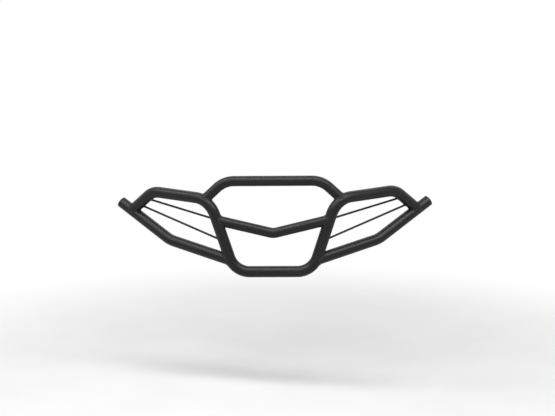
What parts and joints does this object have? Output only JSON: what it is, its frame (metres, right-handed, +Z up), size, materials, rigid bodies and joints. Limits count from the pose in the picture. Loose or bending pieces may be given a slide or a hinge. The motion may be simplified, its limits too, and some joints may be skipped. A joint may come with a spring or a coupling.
{
  "type": "atv front bumper",
  "caption": "Tubular steel front bumper for an ATV: centre frame with a top hoop and V crossbar, swept side wings with rods, and bolted brackets behind.",
  "frame": {"origin": "on the centre plane, on the line through the two lower fixing holes, behind the bottom bar", "axes": "+Z up, the front of the bumper faces -Y and the vehicle is at +Y, left is -X and right is +X as seen from in front of the bumper"},
  "size_m": [1.2058, 0.2582, 0.386],
  "materials": {
    "powder_coat": "satin black",
    "black_plastic": "matte",
    "zinc_steel": "bright zinc"
  },
  "bodies": {
    "root": {"main_tube": "powder_coat", "top_hoop": "powder_coat", "v_crossbar": "powder_coat", "lower_wing_tube_left": "powder_coat", "lower_wing_tube_right": "powder_coat", "wing_rod_upper_left": "powder_coat", "wing_rod_upper_right": "powder_coat", "wing_rod_lower_left": "powder_coat", "wing_rod_lower_right": "powder_coat", "lower_lug_left": "powder_coat", "lower_lug_right": "powder_coat", "upper_tab_left": "powder_coat", "upper_tab_right": "powder_coat", "upper_bracket_left": "powder_coat", "upper_bracket_right": "powder_coat", "end_plug_left": "black_plastic", "end_plug_right": "black_plastic", "bolt_upper_left": "zinc_steel", "bolt_upper_right": "zinc_steel", "bolt_lower_left": "zinc_steel", "bolt_lower_right": "zinc_steel", "head_washer_upper_left": "zinc_steel", "head_washer_upper_right": "zinc_steel", "head_washer_lower_left": "zinc_steel", "head_washer_lower_right": "zinc_steel", "nut_washer_upper_left": "zinc_steel", "nut_washer_upper_right": "zinc_steel", "nut_washer_lower_left": "zinc_steel", "nut_washer_lower_right": "zinc_steel", "lock_nut_upper_left": "zinc_steel", "lock_nut_upper_right": "zinc_steel", "lock_nut_lower_left": "zinc_steel", "lock_nut_lower_right": "zinc_steel"}
  },
  "joints": []
}
